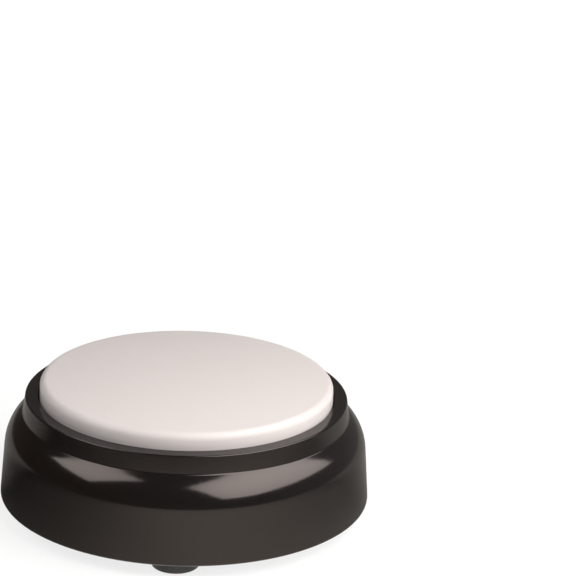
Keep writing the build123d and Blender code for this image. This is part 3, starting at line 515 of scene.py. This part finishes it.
def can_sleeve():
    """Shrunk blue vinyl sleeve of a capacitor."""
    s = Surface("can_sleeve", (0.03, 0.05, 0.16))
    s.tint(s.noise(1.5), (0.022, 0.038, 0.13), (0.04, 0.062, 0.19))
    s.rough(s.noise(0.7, rough=0.6), 0.22, 0.38)
    s.bump(s.noise(0.8, detail=2.0, rough=0.4), 0.006)
    return s


def cell_jacket():
    """Plain foil jacket of a dry cell, bare metal at both ends."""
    s = Surface("cell_jacket", (0.10, 0.12, 0.16))
    low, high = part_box("battery_cell_1")
    start, end = low.x / MM + CELL_BARE_LOW, high.x / MM - CELL_BARE_HIGH
    along = s.split(s.place)["X"]
    bare_low = s.spread(along, start, start + CELL_PRINT_EDGE, 1.0, 0.0)
    bare_high = s.spread(along, end - CELL_PRINT_EDGE, end, 0.0, 1.0)
    bare = s.math("MAXIMUM", bare_low, bare_high)
    foil = s.blend(s.noise(5.0), (0.075, 0.09, 0.125), (0.12, 0.14, 0.185))
    s.tint(bare, foil, (0.62, 0.61, 0.58))
    s.set(Metallic=s.spread(bare, 0.0, 1.0, 0.35, 1.0))
    s.rough(s.noise(0.7, detail=4.0, rough=0.6), 0.26, 0.42)
    s.bump(s.noise(1.2, detail=2.0, rough=0.4), 0.004)
    return s


# ------------------------------------------------------------------ dressing the CAD nodes
def slot_surfaces():
    """One finished surface for each material slot of the record."""
    made = [
        housing_black(),
        button_white(),
        cover_black(),
        foot_rubber(),
        key_grey(),
        silicone(),
        board_green(),
        epoxy_black(),
        worn_metal("screw_steel", (0.55, 0.55, 0.56), 0.28),
        worn_metal("spring_steel", (0.50, 0.50, 0.50), 0.25, grain=0.8),
        worn_metal("contact_nickel", (0.66, 0.64, 0.60), 0.22),
        cell_jacket(),
        brushed_metal("speaker_steel", (0.45, 0.45, 0.44), 0.33),
        magnet(),
        cone_paper(),
        gasket_foam(),
        strip_brown(),
        coil_copper(),
        lead("lead_red", (0.60, 0.03, 0.02)),
        lead("lead_black", (0.02, 0.02, 0.02)),
        brushed_metal("can_silver", (0.75, 0.75, 0.75), 0.25, along=(0.2, 0.2, 1.0)),
        can_sleeve(),
        chip_black(),
    ]
    return {s.material.name: s.material for s in made}


def dress_nodes():
    """Gives every CAD node the finished surface of its slot."""
    imported = {name: node.material_slots[0].material.name for name, node in frame["nodes"].items()}
    for material in bpy.data.materials:
        material.name = "plain_" + material.name
    finished = slot_surfaces()
    for name, node in frame["nodes"].items():
        node.material_slots[0].material = finished[imported[name].split(".")[0]]


# ------------------------------------------------------------------ springs and domes
def yielding_piece(name):
    """A copy of a spring or a rubber dome, fixed to the case in place of its hidden node."""
    node = frame["nodes"][name]
    piece = bpy.data.objects.new(name + "_squeezed", node.data.copy())
    bpy.context.scene.collection.objects.link(piece)
    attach(piece, "case")
    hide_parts(name)
    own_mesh(piece)


def make_yielding_pieces():
    """One for every node that the record says a joint deforms."""
    for joint in frame["joints"]:
        for entry in joint.get("deforming_nodes", []):
            yielding_piece(entry["node"])


# ------------------------------------------------------------------ camera
def make_camera():
    """A long lens at the photograph's viewing angle."""
    data = bpy.data.cameras.new("camera")
    data.lens = CAMERA_LENS
    data.sensor_width = CAMERA_SENSOR
    data.clip_start, data.clip_end = CAMERA_CLIP
    camera = bpy.data.objects.new("camera", data)
    camera.rotation_mode = "QUATERNION"
    camera.location = direction(CAMERA_BEARING, CAMERA_RISE) * CAMERA_DISTANCE
    camera.location.z += CAMERA_PIVOT_HEIGHT
    turn = Matrix.Rotation(radians(CAMERA_YAW + CAMERA_BEARING), 3, "Z")
    turn = turn @ Matrix.Rotation(radians(90.0 - CAMERA_DIP), 3, "X")
    turn = turn @ Matrix.Rotation(radians(CAMERA_ROLL), 3, "Z")
    camera.rotation_quaternion = turn.to_quaternion()
    bpy.context.scene.collection.objects.link(camera)
    bpy.context.scene.camera = camera


# ------------------------------------------------------------------ stage pieces
def mesh_object(name, points, faces, material):
    mesh = bpy.data.meshes.new(name)
    mesh.from_pydata(points, [], faces)
    mesh.materials.append(material)
    made = bpy.data.objects.new(name, mesh)
    bpy.context.scene.collection.objects.link(made)
    return made


def band(name, rows, material, steps=ROUND_STEPS):
    """Rings of a surface of revolution, each a (radius, height), joined from one to the next."""
    points, faces = [], []
    for radius, height in rows:
        for k in range(steps):
            points.append(direction(360.0 * k / steps, 0.0) * radius + Vector((0.0, 0.0, height)))
    for row in range(len(rows) - 1):
        for k in range(steps):
            a, b = row * steps + k, row * steps + (k + 1) % steps
            faces.append((a, b, b + steps, a + steps))
    return mesh_object(name, points, faces, material)


def glow_material(name, tones, strength=(1.0, 1.0), fade=0.0):
    """Glow in four tones for the piece's corners in plan, with a strength at its foot and its top.

    It is dimmer at the corners of the piece's box than in the middle, by a share of it.
    """
    material = bpy.data.materials.new(name)
    n = Nodes(material)
    place = n.coordinates("Generated")
    along = n.split(place)
    front_left, front_right, back_left, back_right = tones
    front = n.blend(along["X"], front_left, front_right)
    back = n.blend(along["X"], back_left, back_right)
    middle = (0.5, 0.5, 0.5)
    corner = 0.75  # squared distance from the middle of the box to its corners
    outwards = n.vector("SUBTRACT", place, middle)
    outwards = n.vector("DOT_PRODUCT", outwards, outwards)
    left_over = n.spread(outwards, 0.0, corner, 1.0, 1.0 - fade)
    level = n.math("MULTIPLY", n.spread(along["Z"], 0.0, 1.0, *strength), left_over)
    glow = n.glow(n.blend(along["Y"], front, back), level)
    n.put(n.node("ShaderNodeOutputMaterial").inputs["Surface"], glow)
    return material


def soft_box(name, corners, glow, spread, fade):
    """A lit cloth between four corners."""
    points = [direction(bearing, rise) * reach for bearing, rise, reach in corners]
    left, right = (dimmed(BOX_TONE, share) for share in spread)
    cloth = glow_material(name, (left, right, left, right), glow, fade)
    box = mesh_object(name, points, [(0, 1, 2, 3)], cloth)
    box.visible_camera = False
    box.visible_shadow = False


def only_in_gloss(obj):
    """Seen in polished surfaces alone; it lights nothing and casts no shadow, so its glow is a
    painted reflection.
    """
    obj.visible_camera = False
    obj.visible_diffuse = False
    obj.visible_transmission = False
    obj.visible_volume_scatter = False
    obj.visible_shadow = False


def make_painted_reflection_tent():
    """Painted reflection: a dim glowing dome for the dark studio, seen in polished surfaces alone."""
    turns = [radians(90.0 * row / TENT_RINGS) for row in range(TENT_RINGS + 1)]
    rows = [(TENT_RADIUS * cos(t), TENT_RADIUS * sin(t)) for t in turns]
    only_in_gloss(band("painted_reflection_tent", rows, glow_material("painted_reflection_tent", PAINTED_REFLECTION_TONES)))


def make_painted_reflection_card():
    """Painted reflection: a low glowing band round the object, ending the pale floor in polished
    surfaces.
    """
    rows = [(CARD_RADIUS, 0.0), (CARD_RADIUS, CARD_HEIGHT)]
    only_in_gloss(band("painted_reflection_card", rows, glow_material("painted_reflection_card", PAINTED_REFLECTION_TONES)))


def floor_material():
    """Pale and matt, and clear from below.

    The camera sees it near white with the object's soft shadow, and polished surfaces see a painted
    sheen on it.
    """
    material = bpy.data.materials.new("floor")
    n = Nodes(material)
    matt = n.node("ShaderNodeBsdfDiffuse")
    n.put(matt.inputs["Color"], FLOOR_TONE)
    matt = matt.outputs["BSDF"]
    place = n.coordinates("Object")
    # the camera: mostly plain white, wholly so away from the object
    share = n.spread(n.vector("LENGTH", place), *FLOOR_FADE, FLOOR_SHARE, 1.0)
    shown = n.mix(share, matt, n.glow((1.0, 1.0, 1.0), FLOOR_WHITE))
    # polished surfaces: a painted sheen, a glow brightest on one side
    towards = direction(PAINTED_SHEEN_BEARING, 0.0)
    facing = n.spread(n.vector("DOT_PRODUCT", n.vector("NORMALIZE", place), towards), -1.0, 1.0)
    peak = n.math("MULTIPLY", n.math("POWER", facing, PAINTED_SHEEN_NARROWING), PAINTED_SHEEN_PEAK)
    rest = n.spread(n.split(place)["Y"], 0.0, PAINTED_SHEEN_REST_DEPTH, *PAINTED_SHEEN_REST)
    painted_sheen = n.glow(PAINTED_SHEEN_TONE, n.math("ADD", peak, rest))
    lit = n.mix(n.rays("Is Glossy Ray", "Is Transmission Ray"), matt, painted_sheen)
    lit = n.mix(n.rays("Is Camera Ray"), lit, shown)
    below = n.node("ShaderNodeNewGeometry").outputs["Backfacing"]
    clear = n.node("ShaderNodeBsdfTransparent").outputs["BSDF"]
    n.put(n.node("ShaderNodeOutputMaterial").inputs["Surface"], n.mix(below, lit, clear))
    return material


def make_floor(corners=ROUND_STEPS):
    """A wide flat disc at the level of the feet."""
    rim = [direction(360.0 * k / corners, 0.0) * FLOOR_RADIUS for k in range(corners)]
    mesh_object("floor", rim, [tuple(range(corners))], floor_material())


# ------------------------------------------------------------------ lamps and world
def area_lamp(name, bearing, rise, reach, half_width, half_height, radiance):
    """A lamp aimed at the object; its power gives the cloth the radiance asked for."""
    data = bpy.data.lights.new(name, "AREA")
    data.shape = "RECTANGLE"
    data.size = 2.0 * half_width
    data.size_y = 2.0 * half_height
    data.energy = pi * data.size * data.size_y * radiance
    data.color = BOX_TONE
    lamp = bpy.data.objects.new(name, data)
    bpy.context.scene.collection.objects.link(lamp)
    towards = direction(bearing, rise)
    lamp.location = towards * reach
    lamp.rotation_euler = towards.to_track_quat("Z", "Y").to_euler()
    lamp.visible_camera = False
    return lamp


def light_only_object(lamp):
    """The lamp under the floor shines through it, on the CAD nodes alone."""
    lit = bpy.data.collections.new("lit_from_below")
    for piece in bpy.context.scene.objects:
        if piece.type == "MESH" and piece.name in frame["nodes"]:
            lit.objects.link(piece)
    lamp.light_linking.receiver_collection = lit
    lamp.light_linking.blocker_collection = lit


def make_lamps():
    """One over the back, a low one on the right for matt surfaces alone, and one underneath."""
    area_lamp("back_lamp", **BACK_LAMP)
    area_lamp("side_lamp", **SIDE_LAMP).visible_glossy = False
    light_only_object(area_lamp("under_lamp", **UNDER_LAMP))


def make_world():
    """White to the camera, to gloss and through glass, and a dim even fill for matt surfaces."""
    world = bpy.data.worlds.new("surroundings")
    bpy.context.scene.world = world
    n = Nodes(world)
    background = n.node("ShaderNodeBackground")
    n.put(background.inputs["Color"], (1.0, 1.0, 1.0))
    seen = n.rays("Is Camera Ray", "Is Glossy Ray", "Is Transmission Ray")
    n.put(background.inputs["Strength"], n.spread(seen, 0.0, 1.0, AMBIENT, 1.0))
    output = n.node("ShaderNodeOutputWorld")
    n.put(output.inputs["Surface"], background.outputs["Background"])


make_camera()
dress_nodes()
make_yielding_pieces()
soft_box("key_box", **KEY_BOX)
soft_box("fill_box", **FILL_BOX)
make_lamps()
make_world()
make_floor()
make_painted_reflection_tent()
make_painted_reflection_card()
bpy.context.scene.view_settings.view_transform = "Standard"
